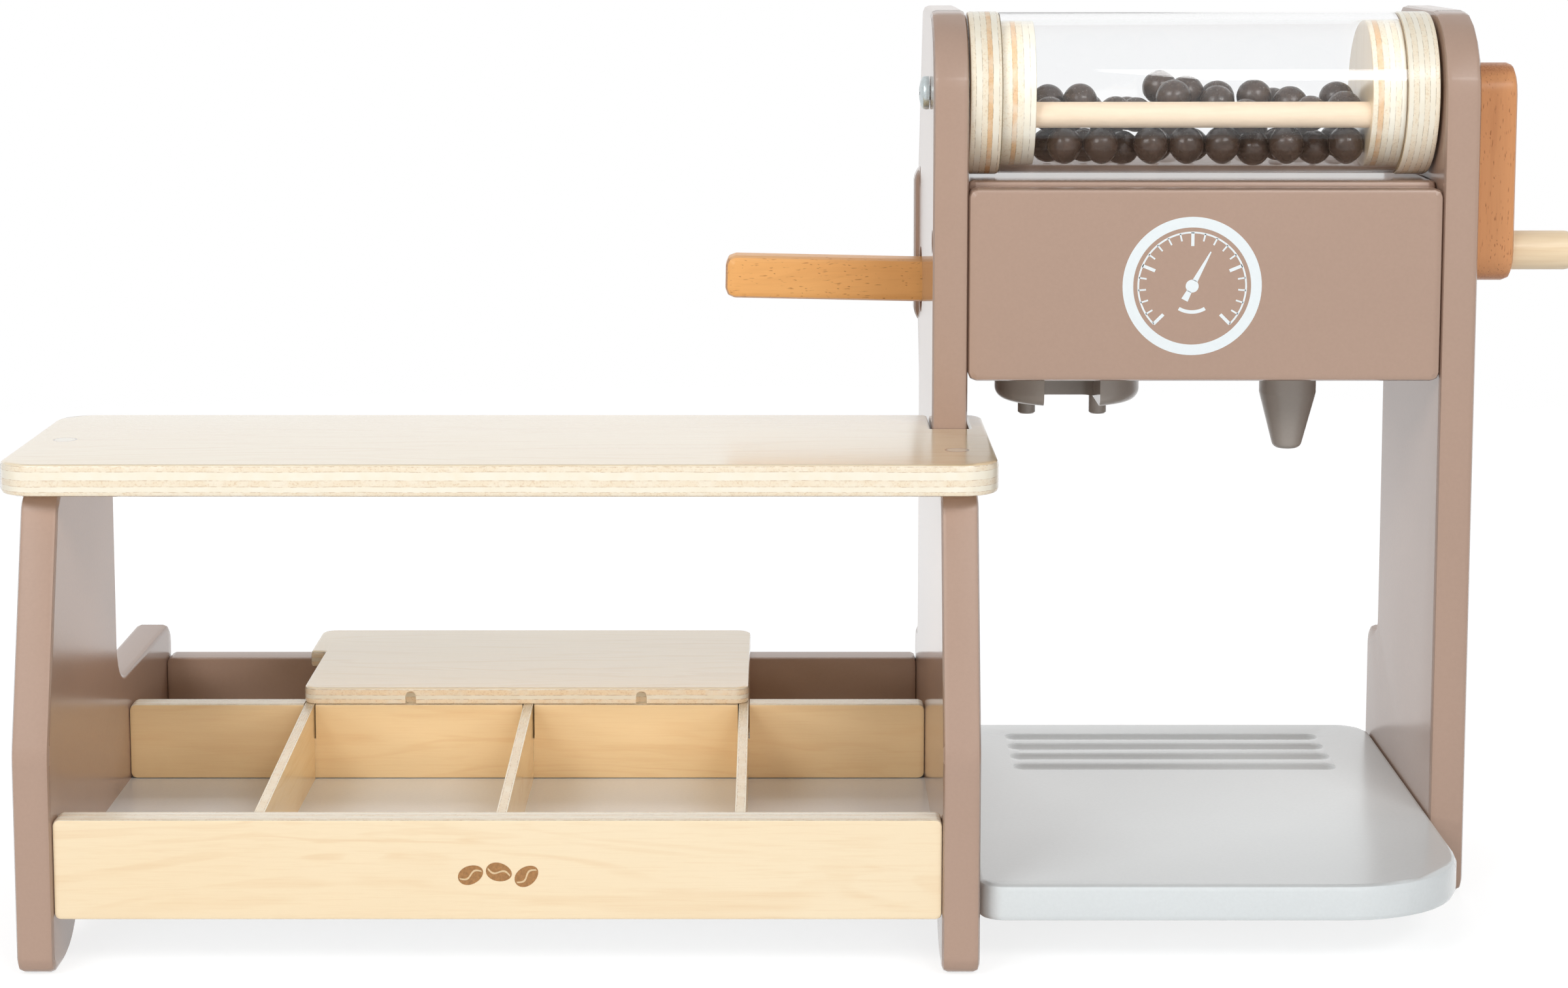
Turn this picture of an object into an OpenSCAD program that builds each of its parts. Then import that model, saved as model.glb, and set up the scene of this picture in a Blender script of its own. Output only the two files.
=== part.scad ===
// Toy coffee bar: a serving counter over a divided tray, and beside it a coffee machine
// with a crank-turned bean drum, a brew head, a milk nozzle and a tilting hand lever.
// Millimetres: +X to the right, +Y to the back, +Z up, and the feet stand on Z = 0.
// Lengths along X start at the left panel's outer face, and along Y at the front of the
// counter legs. placed() then moves the origin below the middle of the whole toy.

/* [Side panels] */
// Thickness of the painted boards
board_t = 12; // [10:0.5:13]
// Radius along the long edges of the painted boards
board_edge = 2; // [1:0.25:2]
// Depth of the side panels at the table
panel_depth = 214; // [208:0.5:224]
// Height of the machine's two tall panels
machine_h = 303.5; // [295:0.5:320]
// Height at which the front of a counter leg starts to slope back
leg_bend_z = 72; // [60:1:90]
// Height of the low rear part of every side panel
step_z = 69; // [64:0.5:76]
// Clearance under the arch between two feet
arch_z = 12.5; // [8:0.5:12.5]

/* [Counter] */
// Clear width between the left and the middle panel
counter_w = 283; // [250:1:320]
// Thickness of the plywood countertop
top_t = 10.4; // [8:0.2:12]
// Height of the countertop's underside
top_under_z = 152.6; // [148:0.2:158]
// Overhang of the countertop past the side panels
top_overhang = 6.5; // [6.5:0.5:12]
// Depth of the countertop
top_depth = 105; // [95:1:112]

/* [Tray] */
// Thickness of the thin cross dividers
cross_t = 3.4; // [2.6:0.2:4]
// Thickness of the long divider
long_t = 9; // [7:0.5:12]
// Height of the top of the long divider and the back rail
divider_top_z = 57; // [52:0.5:62]
// Thickness of the loose lid board
lid_t = 6; // [5:0.5:8]

/* [Machine] */
// Clear width between the middle and the right panel
machine_w = 160; // [150:1:180]
// Distance of the machine's front face behind the counter legs
machine_front = 88.5; // [86:0.5:92]
// Radius of the base plate's front right corner
base_corner = 40; // [20:1:60]

/* [Bean drum] */
// Diameter of the drum's outer discs
drum_d = 56; // [50:0.5:56]
// Diameter of the plugs inside the clear tube
plug_d = 50; // [44:0.5:50]
// Diameter of one bean bead
bean_d = 11.8; // [10:0.1:11.8]
// Distance from the drum's axis to the crank knob's axis
crank_r = 54.5; // [45:0.5:60]
// Diameter of the crank knob
knob_d = 13.5; // [11:0.5:16]

/* [Lever] */
// Side of the lever's square section
lever_side = 15.4; // [12:0.2:15.6]
// Diameter of the hole that the lever moves in
lever_hole_d = 24; // [23.6:0.2:26]
// Rise of the lever towards its free end, in degrees
lever_rise = 1.2; // [0:0.1:1.4]

/* [Hidden] */
$fn = 64;

// Colours
taupe = [0.72, 0.61, 0.54];
pale_grey = [0.82, 0.84, 0.84];
dark_grey = [0.43, 0.41, 0.39];
warm_grey = [0.66, 0.63, 0.60];
birch = [0.96, 0.88, 0.72];
beech = [0.80, 0.54, 0.36];
bean_brown = [0.25, 0.19, 0.16];
zinc = [0.72, 0.75, 0.76];
black_steel = [0.18, 0.16, 0.15];

// Faces of the side panels along X
left_in = board_t;
mid_left = left_in + counter_w;
mid_right = mid_left + board_t;
right_in = mid_right + machine_w;
right_out = right_in + board_t;

// Feet
sole_front_r = 6;
sole_rear_r = 2.16 * arch_z;
foot_len = 29;
arch_slope = 50;
arch_fillet = 0.632 * arch_z;
arch_run = arch_z / tan(arch_slope);

// Side panel profile along Y
panel_corner = 8;
leg_top_y = 24;
leg_bend_r = 25;
left_upper_rear = 112.5;
left_step_fillet = 14;
column_rear = panel_depth - 20;
column_fillet = 6;
column_top_rear = 177;
column_front_r = 30;

// Countertop and its dowel plugs
top_front = 14;
top_corner = 12;
top_edge = 1.5;
tongue_corner = 6;
notch_gap = 0.2;
plug_dowel_r = 4;
plug_depth = 20;
left_plug_y = 64.5;
mid_plug_y = 43.5;

// Tray
strip_front = 2.5;
strip_t = 10.5;
strip_z = [18, 50.7];
floor_z = [18, 30];
long_front = 129.5;
rail_t = 11.5;
rail_front = panel_depth - rail_t;
rail_edge = 1;
ply_edge = 1;
cross_x = [76.2, 154, 230.6];
slot_gap = 0.4;
slot_z = 44.6;

// Loose lid board
lid_x = [74, 232.4];
lid_rear = panel_depth + 10.5;
lug_w = 5.4;
lug_front = 188;
lid_z = divider_top_z;
lid_corner = 5;
lid_notch_w = 3.8;
lid_notch_h = lid_t - 1.2;
lid_notch_depth = 4;
lid_notch_offset = 41;

// Base plate
base_z = 16;
base_front = 6.5;
base_rear = panel_depth + 3;
base_groove_len = 118;
base_groove_y = [153.7, 168.1, 182.5, 196.9];
base_groove_w = 9;
base_groove_depth = 1.8;

// Machine body
body_rear = 205.5;
front_plate_z = [179, 244.5];
bottom_board_z = [181, 193];
top_board_top = 246.2;
rear_plate_z = [183.4, 243.6];
rear_plate_overhang = 1.4;
plate_corner = 3;
rear_plate_corner = 6;

// Brew head and nozzle
head_pos = [343.7, 125.5];
head_r = 25.2;
head_bottom_z = 168;
head_edge = 4;
head_slot_w = 19.2;
head_slot_end = 7;
spout_r = 3.1;
spout_offset = [12.6, 17];
spout_bottom_z = 160;
spout_top_z = 189;
nozzle_pos = [421.1, 125.5];
nozzle_r = 9.9;
nozzle_tip_r = 5.3;
nozzle_cone_z = 170.3;
nozzle_tip_z = 150.3;
tenon_r = 4;
tenon_len = 10;

// Drum, from left to right along its axis
axis_y = 120.5;
axis_z = 275;
drum_x = mid_right + 0.5;
drum_end = right_in - 1.1;
disc_t = 11;
plug_t = 11.5;
disc_edge = 1;
tube_r = 27.7;
tube_wall = 2.5;
rod_r = 4.3;
rod_seat = 6;
rod_angle = 199.8;
rod_ring = 18.6;
plug_inner_x = [drum_x + disc_t + plug_t, drum_end - disc_t - plug_t];

// Beans: cross-section places as [ring radius, angle, shift by half a bead]
bean_ring = 18.8;
bean_pitch = 12.1;
bean_rows = [
    [bean_ring, -127.5, 0], [bean_ring, -90, 0], [bean_ring, -52.5, 0], [bean_ring, -15, 0],
    [9, -112, 1], [9, -29, 1], [2.5, 127, 0]
];

// Axle, crank and knob
screw_shank_r = 2.5;
screw_bore_r = 2.56;
screw_head_r = 5.75;
screw_head_h = 2.5;
washer_gap = 0.3;
washer_t = 0.8;
axle_r = 4;
axle_bore_r = 4.06;
arm_gap = 1.6;
arm_t = 15.4;
arm_w = 21;
arm_edge = 2.5;
arm_x = right_out + arm_gap;
knob_len = 23;
knob_x = arm_x + arm_t;
knob_z = axis_z - crank_r;
knob_end_r = 4;

// Lever
lever_free_x = 223.7;
lever_edge = 2.5;
lever_y = 181;
lever_pivot_x = 352;
lever_pivot_z = 202.4;
lever_tail = 12;
lever_hole_z = 203.5;
pivot_r = 4;
pivot_bore_r = 4.06;

// Assembly screws, as [y, z] in the side panels
assembly_head_r = 3.6;
assembly_head_h = 2;
assembly_shank_r = 1.7;
assembly_recess = [4, 5];
assembly_len = 22;
counter_screws = [[strip_front + strip_t / 2, 34], [rail_front + rail_t / 2, 38]];
floor_screws = [[60, 24], [150, 24]];
body_screws = [[machine_front + board_t / 2, 226], [191.5, 240.2]];
base_screws = [[120, 22], [180, 22]];

// Middle of the whole toy, which stands over the origin
centre_x = (knob_x + knob_len - top_overhang) / 2;
centre_y = lid_rear / 2;

// Moves a piece from the drawing's datum to the toy's own frame
module placed() {
    translate([-centre_x, -centre_y, 0]) children();
}

// ---- Outlines ----

function unit(v) = v / norm(v);

function turned(v, a) = [v.x * cos(a) - v.y * sin(a), v.x * sin(a) + v.y * cos(a)];

// Points of the arc that rounds corner b, given as [x, y, radius], between a and c
function corner_points(a, b, c, steps) =
    let (
        p = [b.x, b.y],
        u = unit([a.x, a.y] - p),
        v = unit([c.x, c.y] - p),
        half = acos(u * v) / 2,
        middle = p + unit(u + v) * b.z / sin(half),
        spoke = p + u * b.z / tan(half) - middle,
        sweep = -sign(cross(u, v)) * (180 - 2 * half)
    )
    b.z == 0 ? [p] : [for (i = [0:steps]) middle + turned(spoke, sweep * i / steps)];

// Outline through corners [x, y, radius], each rounded to its own radius
module rounded_outline(corners, steps = 6) {
    last = len(corners) - 1;
    polygon([
        for (i = [0:last])
            each corner_points(
                corners[i == 0 ? last : i - 1], corners[i], corners[i == last ? 0 : i + 1], steps
            )
    ]);
}

module rounded_rect(x, y, r) {
    rounded_outline([[x[0], y[0], r], [x[1], y[0], r], [x[1], y[1], r], [x[0], y[1], r]], 4);
}

// Rear foot, rear edge and step, which all three side panels share; upper is the rear
// edge above the step
function rear_corners(upper, fillet) = [
    [panel_depth - foot_len - arch_run, arch_z, arch_fillet],
    [panel_depth - foot_len, 0, sole_rear_r],
    [panel_depth, 0, sole_front_r],
    [panel_depth, step_z, panel_corner],
    [upper, step_z, fillet]
];

// Sole and arch behind a front edge at y
function front_foot(y) = [
    [y, 0, sole_front_r],
    [y + foot_len, 0, sole_rear_r],
    [y + foot_len + arch_run, arch_z, arch_fillet]
];

// Column that carries the drum, from its rear foot up to its front edge
function column_corners() = concat(
    rear_corners(column_rear, column_fillet),
    [
        [column_rear, rear_plate_z[0] - 15.5, panel_corner],
        [body_rear, rear_plate_z[0] + 1, panel_corner],
        [body_rear, rear_plate_z[1] + 1.5, panel_corner],
        [column_top_rear, machine_h, panel_corner],
        [machine_front, machine_h, column_front_r]
    ]
);

// Sloping front of a counter leg, down to the bend
leg_front = [[leg_top_y, top_under_z, panel_corner], [0, leg_bend_z, leg_bend_r]];

// ---- Boards ----

// Half-round bead that rolls round a board's edges
module edge_bead(r) {
    rotate_extrude($fn = 8) polygon([for (i = [-2:2]) r * [cos(45 * i), sin(45 * i)]]);
}

// Board of thickness t over a flat outline, with its edges rounded to r
module soft_board(t, r) {
    translate([0, 0, r]) minkowski() {
        linear_extrude(t - 2 * r) offset(delta = -r) children();
        edge_bead(r);
    }
}

// Stands an outline drawn in Y and Z up, with its thickness along +X
module along_x(x) {
    translate([x, 0, 0]) rotate([90, 0, 90]) children();
}

// Stands an outline drawn in X and Z up, with its thickness from y to y + t
module along_y(y, t) {
    translate([0, y + t, 0]) rotate([90, 0, 0]) children();
}

module bar_x(x, y, z, r, length) {
    translate([x, y, z]) rotate([0, 90, 0]) cylinder(r = r, h = length);
}

module bar_y(x, y, z, r, length) {
    translate([x, y, z]) rotate([-90, 0, 0]) cylinder(r = r, h = length);
}

module block(x, y, z) {
    translate([x[0], y[0], z[0]]) cube([x[1] - x[0], y[1] - y[0], z[1] - z[0]]);
}

// ---- Assembly screws ----

// Screw from face x into the toy, side 1 driving towards +X and -1 towards -X
module assembly_screw(x, side, place) {
    translate([x, place[0], place[1]]) rotate([0, 90 * side, 0]) {
        translate([0, 0, assembly_recess[1] - assembly_head_h]) difference() {
            cylinder(r = assembly_head_r, h = assembly_head_h);
            for (a = [0, 90])
                rotate(a) translate([-2, -0.4, -0.1]) cube([4, 0.8, 1]);
        }
        translate([0, 0, assembly_recess[1]])
            cylinder(r = assembly_shank_r, h = assembly_len);
    }
}

// Room for such a screw: the recess for its head and the hole for its shank
module screw_room(x, side, place) {
    translate([x, place[0], place[1]]) rotate([0, 90 * side, 0]) {
        translate([0, 0, -1]) cylinder(r = assembly_recess[0], h = assembly_recess[1] + 1);
        cylinder(r = assembly_shank_r, h = assembly_recess[1] + assembly_len);
    }
}

module screw_rooms(x, side, places) {
    for (place = places) screw_room(x, side, place);
}

module screws(x, side, places) {
    for (place = places) assembly_screw(x, side, place);
}

// ---- Side panels ----

module left_side_panel() {
    color(taupe) placed() difference() {
        along_x(0) soft_board(board_t, board_edge) rounded_outline(concat(
            front_foot(0),
            rear_corners(left_upper_rear, left_step_fillet),
            [[left_upper_rear, top_under_z, sole_front_r / 2]],
            leg_front
        ));
        screw_rooms(0, 1, concat(counter_screws, floor_screws));
        translate([board_t / 2, left_plug_y, top_under_z - plug_depth])
            cylinder(r = plug_dowel_r, h = plug_depth + 1);
    }
}

module middle_side_panel() {
    color(taupe) placed() difference() {
        along_x(mid_left) soft_board(board_t, board_edge) rounded_outline(concat(
            front_foot(0),
            column_corners(),
            [[machine_front, top_under_z, 0]],
            leg_front
        ));
        bar_x(mid_left - 1, axis_y, axis_z, screw_bore_r, board_t + 2);
        bar_x(mid_left - 1, lever_y, lever_hole_z, lever_hole_d / 2, board_t + 2);
        screw_rooms(mid_left, 1, body_screws);
        screw_rooms(mid_right, -1, counter_screws);
        translate([mid_left + board_t / 2, mid_plug_y, top_under_z - plug_depth])
            cylinder(r = plug_dowel_r, h = plug_depth + 1);
    }
}

module right_side_panel() {
    color(taupe) placed() difference() {
        along_x(right_in) soft_board(board_t, board_edge)
            rounded_outline(concat(front_foot(machine_front), column_corners()));
        bar_x(right_in - 1, axis_y, axis_z, axle_bore_r, board_t + 2);
        screw_rooms(right_out, -1, concat(body_screws, base_screws));
    }
}

// ---- Counter ----

module countertop() {
    notch_x = [mid_left - notch_gap, mid_right + notch_gap];
    notch_y = machine_front - notch_gap;
    rear = top_front + top_depth;
    left = -top_overhang;
    right = mid_right + top_overhang;
    color(birch) placed() difference() {
        translate([0, 0, top_under_z]) soft_board(top_t, top_edge) rounded_outline([
            [left, top_front, top_corner], [right, top_front, top_corner],
            [right, rear, tongue_corner], [notch_x[1], rear, 0],
            [notch_x[1], notch_y, 0], [notch_x[0], notch_y, 0],
            [notch_x[0], rear, 0], [left, rear, top_corner]
        ]);
        for (p = [[board_t / 2, left_plug_y], [mid_left + board_t / 2, mid_plug_y]])
            translate([p[0], p[1], top_under_z - 1]) cylinder(r = plug_dowel_r, h = top_t + 2);
    }
}

module countertop_dowels() {
    color(birch) placed()
        for (p = [[board_t / 2, left_plug_y], [mid_left + board_t / 2, mid_plug_y]])
            translate([p[0], p[1], top_under_z - plug_depth])
                cylinder(r = plug_dowel_r, h = plug_depth + top_t);
}

// ---- Tray ----

module tray_front_strip() {
    color(birch) placed() difference() {
        along_y(strip_front, strip_t) soft_board(strip_t, ply_edge)
            rounded_rect([left_in, mid_left], strip_z, ply_edge + 1);
        screw_rooms(0, 1, counter_screws);
        screw_rooms(mid_right, -1, counter_screws);
    }
}

module tray_floor() {
    color(warm_grey) placed() difference() {
        block([left_in, mid_left], [strip_front + strip_t, rail_front], floor_z);
        screw_rooms(0, 1, floor_screws);
    }
}

// Slots from the top let the cross dividers drop in to half height
module tray_long_divider() {
    color(birch) placed() difference() {
        along_y(long_front, long_t) soft_board(long_t, ply_edge)
            rounded_rect([left_in, mid_left], [floor_z[1], divider_top_z], ply_edge + 1.2);
        for (x = cross_x)
            block(
                [x - cross_t / 2 - slot_gap, x + cross_t / 2 + slot_gap],
                [long_front - 1, long_front + long_t + 1],
                [slot_z, divider_top_z + 1]
            );
    }
}

// Thin divider from the strip to the back rail. Its top falls to the strip in front of the
// long divider, and its lower half is cut out where it straddles that divider.
module cross_divider(x) {
    strip_rear = strip_front + strip_t;
    slot_y = [long_front - slot_gap, long_front + long_t + slot_gap];
    along_x(x - cross_t / 2) linear_extrude(cross_t) polygon([
        [strip_rear, floor_z[1]], [slot_y[0], floor_z[1]], [slot_y[0], slot_z],
        [slot_y[1], slot_z], [slot_y[1], floor_z[1]], [rail_front, floor_z[1]],
        [rail_front, divider_top_z], [long_front, divider_top_z], [strip_rear, strip_z[1] - 0.7]
    ]);
}

module cross_divider_left() {
    color(birch) placed() cross_divider(cross_x[0]);
}

module cross_divider_middle() {
    color(birch) placed() cross_divider(cross_x[1]);
}

module cross_divider_right() {
    color(birch) placed() cross_divider(cross_x[2]);
}

module back_rail() {
    color(taupe) placed() difference() {
        along_y(rail_front, rail_t) soft_board(rail_t, rail_edge)
            rounded_rect([left_in, mid_left], [floor_z[0], divider_top_z], rail_edge + 1);
        screw_rooms(0, 1, counter_screws);
        screw_rooms(mid_right, -1, counter_screws);
    }
}

// Loose board over the rear of the tray, with a lug at its rear left corner and two
// round-topped notches in its front edge
module storage_lid() {
    middle = (lid_x[0] + lid_x[1]) / 2;
    half = lid_notch_w / 2;
    color(birch) placed() difference() {
        translate([0, 0, lid_z]) soft_board(lid_t, ply_edge) rounded_outline([
            [lid_x[0], long_front, lid_corner], [lid_x[1], long_front, lid_corner],
            [lid_x[1], lid_rear, lid_corner], [lid_x[0] - lug_w, lid_rear, lid_corner],
            [lid_x[0] - lug_w, lug_front, ply_edge], [lid_x[0], lug_front, ply_edge]
        ]);
        for (x = [middle - lid_notch_offset, middle + lid_notch_offset])
            along_y(long_front - 1, lid_notch_depth + 1) linear_extrude(lid_notch_depth + 1)
                rounded_outline([
                    [x - half, lid_z - 1, 0], [x + half, lid_z - 1, 0],
                    [x + half, lid_z + lid_notch_h, half - 0.01],
                    [x - half, lid_z + lid_notch_h, half - 0.01]
                ]);
    }
}

// ---- Machine ----

// Shallow cove with round ends, cut by a rolling ball
module cove(x, y, z, length) {
    ball_r = (base_groove_w * base_groove_w / 4 + base_groove_depth * base_groove_depth)
        / (2 * base_groove_depth);
    run = length - base_groove_w;
    translate([x - run / 2, y, z + ball_r - base_groove_depth]) {
        rotate([0, 90, 0]) cylinder(r = ball_r, h = run);
        sphere(r = ball_r);
        translate([run, 0, 0]) sphere(r = ball_r);
    }
}

module base_plate() {
    color(pale_grey) placed() difference() {
        translate([0, 0, base_z]) soft_board(board_t, board_edge) rounded_outline([
            [mid_right, base_front, panel_corner], [right_in, base_front, base_corner],
            [right_in, base_rear, 12], [mid_right, base_rear, panel_corner]
        ], 10);
        for (y = base_groove_y)
            cove((mid_right + right_in) / 2, y, base_z + board_t, base_groove_len);
        screw_rooms(right_out, -1, base_screws);
    }
}

module body_front_plate() {
    color(taupe) placed() difference() {
        along_y(machine_front, board_t) soft_board(board_t, board_edge)
            rounded_rect([mid_right, right_in], front_plate_z, plate_corner);
        screw_rooms(mid_left, 1, body_screws);
        screw_rooms(right_out, -1, body_screws);
        lever_pivot_bar(0);
    }
}

module body_top_board() {
    color(taupe) placed() difference() {
        translate([0, 0, top_board_top - board_t]) soft_board(board_t, board_edge)
            rounded_rect(
                [mid_right, right_in], [machine_front + board_t, body_rear], board_edge + 1
            );
        screw_rooms(mid_left, 1, body_screws);
        screw_rooms(right_out, -1, body_screws);
    }
}

module body_bottom_board() {
    color(taupe) placed() difference() {
        block([mid_right, right_in], [machine_front + board_t, body_rear], bottom_board_z);
        for (side = [-1, 1])
            translate([head_pos[0] + side * spout_offset[0], head_pos[1] + spout_offset[1], 0])
                cylinder(r = spout_r, h = spout_top_z);
        translate([nozzle_pos[0], nozzle_pos[1], 0])
            cylinder(r = tenon_r, h = bottom_board_z[0] + tenon_len);
    }
}

module body_rear_plate() {
    color(taupe) placed()
        along_y(body_rear, board_t) soft_board(board_t, board_edge) rounded_rect(
            [mid_left - rear_plate_overhang, right_out + rear_plate_overhang],
            rear_plate_z, rear_plate_corner
        );
}

// Turned disc with a rounded lower rim and a slot that opens to the front
module brew_head() {
    h = bottom_board_z[0] - head_bottom_z;
    slot_r = 4;
    color(dark_grey) placed() translate([head_pos[0], head_pos[1], head_bottom_z]) difference() {
        rotate_extrude() polygon(concat(
            [[0, 0]],
            [for (a = [-90:15:0]) [head_r - head_edge + head_edge * cos(a), head_edge * (1 + sin(a))]],
            [[head_r, h], [0, h]]
        ));
        translate([-head_slot_w / 2, -head_r - 1, -1])
            cube([head_slot_w, head_r + 1 + head_slot_end - slot_r, h + 2]);
        translate([-head_slot_w / 2 + slot_r, -head_r - 1, -1])
            cube([head_slot_w - 2 * slot_r, head_r + 1 + head_slot_end, h + 2]);
        for (side = [-1, 1]) {
            translate([side * (head_slot_w / 2 - slot_r), head_slot_end - slot_r, -1])
                cylinder(r = slot_r, h = h + 2);
            translate([side * spout_offset[0], spout_offset[1], -1])
                cylinder(r = spout_r, h = h + 2);
        }
    }
}

// Two dowels that pin the brew head to the body and stand out below it as spouts
module spout_dowels() {
    color(dark_grey) placed()
        for (side = [-1, 1])
            translate([
                head_pos[0] + side * spout_offset[0], head_pos[1] + spout_offset[1], spout_bottom_z
            ]) rotate_extrude() polygon([
                [0, 0], [spout_r - 0.5, 0], [spout_r, 0.5],
                [spout_r, spout_top_z - spout_bottom_z], [0, spout_top_z - spout_bottom_z]
            ]);
}

// Turned nozzle: a short barrel, a cone and a rounded tip, with a tenon on top
module milk_nozzle() {
    tip_edge = 2.5;
    color(dark_grey) placed() translate([nozzle_pos[0], nozzle_pos[1], nozzle_tip_z])
        rotate_extrude() polygon(concat(
            [[0, 0]],
            [for (a = [-90:15:-10]) [
                nozzle_tip_r - tip_edge + tip_edge * cos(a), tip_edge * (1 + sin(a))
            ]],
            [
                [nozzle_r - 0.35, nozzle_cone_z - nozzle_tip_z - 1.6],
                [nozzle_r, nozzle_cone_z - nozzle_tip_z],
                [nozzle_r, bottom_board_z[0] - nozzle_tip_z],
                [tenon_r, bottom_board_z[0] - nozzle_tip_z],
                [tenon_r, bottom_board_z[0] - nozzle_tip_z + tenon_len],
                [0, bottom_board_z[0] - nozzle_tip_z + tenon_len]
            ]
        ));
}

// ---- Bean drum ----

// Moves to the drum's axis at x, with the axis along local Z
module on_axis(x) {
    translate([x, axis_y, axis_z]) rotate([90, 0, 90]) children();
}

module round_disc(r, t, edge) {
    rotate_extrude() polygon([
        [0, 0], [r - edge, 0], [r - edge * 0.29, edge * 0.29], [r, edge],
        [r, t - edge], [r - edge * 0.29, t - edge * 0.29], [r - edge, t], [0, t]
    ]);
}

module on_rod_axis(x) {
    translate([
        x, axis_y + rod_ring * cos(rod_angle), axis_z + rod_ring * sin(rod_angle)
    ]) rotate([90, 0, 90]) children();
}

module drum_left_disc() {
    color(birch) placed() difference() {
        on_axis(drum_x) round_disc(drum_d / 2, disc_t, disc_edge);
        bar_x(drum_x - 1, axis_y, axis_z, screw_shank_r, disc_t + 2);
    }
}

module drum_left_plug() {
    color(birch) placed() difference() {
        on_axis(drum_x + disc_t) round_disc(plug_d / 2, plug_t, disc_edge / 2);
        bar_x(drum_x, axis_y, axis_z, screw_shank_r, disc_t + rod_seat);
        on_rod_axis(plug_inner_x[0] - rod_seat) cylinder(r = rod_r, h = rod_seat + 1);
    }
}

module drum_right_disc() {
    color(birch) placed() difference() {
        on_axis(drum_end - disc_t) round_disc(drum_d / 2, disc_t, disc_edge);
        bar_x(drum_end - rod_seat, axis_y, axis_z, axle_r, disc_t);
    }
}

module drum_right_plug() {
    color(birch) placed() difference() {
        on_axis(plug_inner_x[1]) round_disc(plug_d / 2, plug_t, disc_edge / 2);
        on_rod_axis(plug_inner_x[1] - 1) cylinder(r = rod_r, h = rod_seat + 1);
    }
}

// Clear tube over both plugs, between the outer discs
module drum_tube() {
    length = drum_end - drum_x - 2 * disc_t;
    color([0.9, 0.95, 1, 0.35]) placed() on_axis(drum_x + disc_t) difference() {
        cylinder(r = tube_r, h = length);
        translate([0, 0, -1]) cylinder(r = tube_r - tube_wall, h = length + 2);
    }
}

// Rod near the rim that ties the two plugs together and stirs the beans
module drum_tie_rod() {
    color(birch) placed() on_rod_axis(plug_inner_x[0] - rod_seat)
        cylinder(r = rod_r, h = plug_inner_x[1] - plug_inner_x[0] + 2 * rod_seat);
}

module beans() {
    room = plug_inner_x[1] - plug_inner_x[0];
    per_row = floor((room - 1) / bean_pitch);
    first_x = plug_inner_x[0] + (room - (per_row - 1) * bean_pitch) / 2;
    color(bean_brown) placed()
        for (row = bean_rows, i = [0:per_row - 1 - row[2]])
            translate([
                first_x + (i + row[2] / 2) * bean_pitch,
                axis_y + row[0] * cos(row[1]),
                axis_z + row[0] * sin(row[1])
            ]) sphere(d = bean_d);
}

// ---- Axle and crank ----

// Pan-head screw that the drum's left end turns on
module axle_screw() {
    head_x = mid_left - washer_gap - washer_t;
    color(zinc) placed() difference() {
        union() {
            on_axis(head_x) cylinder(
                r = screw_shank_r, h = drum_x + disc_t + rod_seat - head_x
            );
            on_axis(head_x - screw_head_h) rotate_extrude() polygon(concat(
                [[0, 0]],
                [for (a = [15:15:90]) [
                    screw_head_r * sin(a), screw_head_h * 0.7 * (1 - cos(a))
                ]],
                [[screw_head_r, screw_head_h], [0, screw_head_h]]
            ));
        }
        on_axis(head_x - screw_head_h - 0.5)
            for (a = [0, 90]) rotate(a) translate([-2.5, -0.5, 0]) cube([5, 1, 1.6]);
    }
}

module axle_washer() {
    color(zinc) placed() on_axis(mid_left - washer_gap - washer_t) difference() {
        cylinder(r = screw_head_r, h = washer_t);
        translate([0, 0, -1]) cylinder(r = screw_shank_r, h = washer_t + 2);
    }
}

// Dowel that carries the crank's turn through the right panel
module crank_axle() {
    color(birch) placed() on_axis(drum_end - rod_seat)
        cylinder(r = axle_r, h = knob_x - drum_end + rod_seat);
}

module crank_arm() {
    color(beech) placed() difference() {
        along_x(arm_x) soft_board(arm_t, arm_edge) rounded_rect(
            [axis_y - arm_w / 2, axis_y + arm_w / 2],
            [knob_z - arm_w / 2, axis_z + arm_w / 2],
            arm_w / 2 - 0.01
        );
        bar_x(arm_x - 1, axis_y, axis_z, axle_r, arm_t + 2);
        bar_x(knob_x - tenon_len, axis_y, knob_z, tenon_r, tenon_len + 1);
    }
}

// Round-ended knob with a tenon into the arm
module crank_knob() {
    r = knob_d / 2;
    color(birch) placed() translate([knob_x, axis_y, knob_z]) rotate([90, 0, 90]) {
        rotate_extrude() polygon(concat(
            [[0, 0], [r, 0]],
            [for (a = [0:15:90]) [
                r - knob_end_r + knob_end_r * cos(a), knob_len - knob_end_r + knob_end_r * sin(a)
            ]],
            [[0, knob_len]]
        ));
        translate([0, 0, -tenon_len]) cylinder(r = tenon_r, h = tenon_len);
    }
}

// ---- Lever ----

module lever_pivot_bar(clearance) {
    bar_y(
        lever_pivot_x, machine_front + board_t - 5, lever_pivot_z,
        pivot_r + clearance, body_rear - machine_front - board_t + 5
    );
}

// Square bar through the round hole in the middle panel, turning on its pivot
module lever() {
    half = lever_side / 2;
    color(beech) placed() difference() {
        translate([lever_pivot_x, lever_y - half, lever_pivot_z]) rotate([0, lever_rise, 0])
            along_y(0, lever_side) soft_board(lever_side, lever_edge) rounded_rect(
                [lever_free_x - lever_pivot_x, lever_tail], [-half, half], lever_edge + 1
            );
        bar_y(lever_pivot_x, 0, lever_pivot_z, pivot_bore_r, panel_depth);
    }
}

module lever_pivot() {
    color(birch) placed() lever_pivot_bar(0);
}

// ---- Screws ----

module left_panel_screws() {
    color(black_steel) placed() screws(0, 1, concat(counter_screws, floor_screws));
}

module middle_panel_screws() {
    color(black_steel) placed() {
        screws(mid_left, 1, body_screws);
        screws(mid_right, -1, counter_screws);
    }
}

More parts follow.
